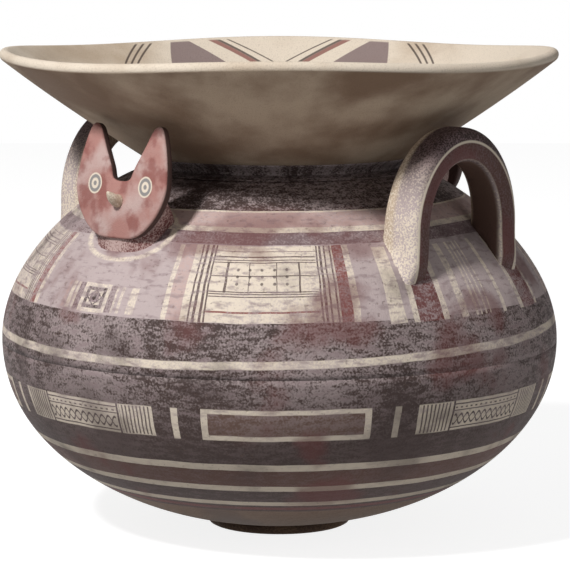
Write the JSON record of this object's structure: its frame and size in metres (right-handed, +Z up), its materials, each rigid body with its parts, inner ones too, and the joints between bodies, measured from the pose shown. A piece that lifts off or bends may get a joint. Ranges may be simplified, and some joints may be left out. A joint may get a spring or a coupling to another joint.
{
  "type": "olla",
  "caption": "Painted pottery olla with a wide funnel rim, round belly, small foot, arched strap handles and horned face plates on the shoulder.",
  "frame": {"origin": "middle of the foot's flat underside, on the surface that the pot stands on", "axes": "+Z up along the pot's turning axis, -Y towards the front of the pot, with a face plate at its left and a handle at its right"},
  "size_m": [0.3516, 0.3516, 0.3014],
  "materials": {
    "painted_body": "matt",
    "pale_slip": "matt",
    "bare_clay": "matt",
    "painted_handle": "matt",
    "red_slip": "matt"
  },
  "bodies": {
    "root": {"foot_disc": "bare_clay", "lower_bowl": "painted_body", "shoulder_wall": "painted_body", "neck_collar": "painted_body", "funnel_rim": "pale_slip", "handle_front_right": "painted_handle", "handle_rear_left": "painted_handle", "protome_plate_front_left": "red_slip", "protome_stem_front_left": "painted_body", "protome_nose_front_left": "pale_slip", "protome_plate_rear_right": "red_slip", "protome_stem_rear_right": "painted_body", "protome_nose_rear_right": "pale_slip"}
  },
  "joints": []
}
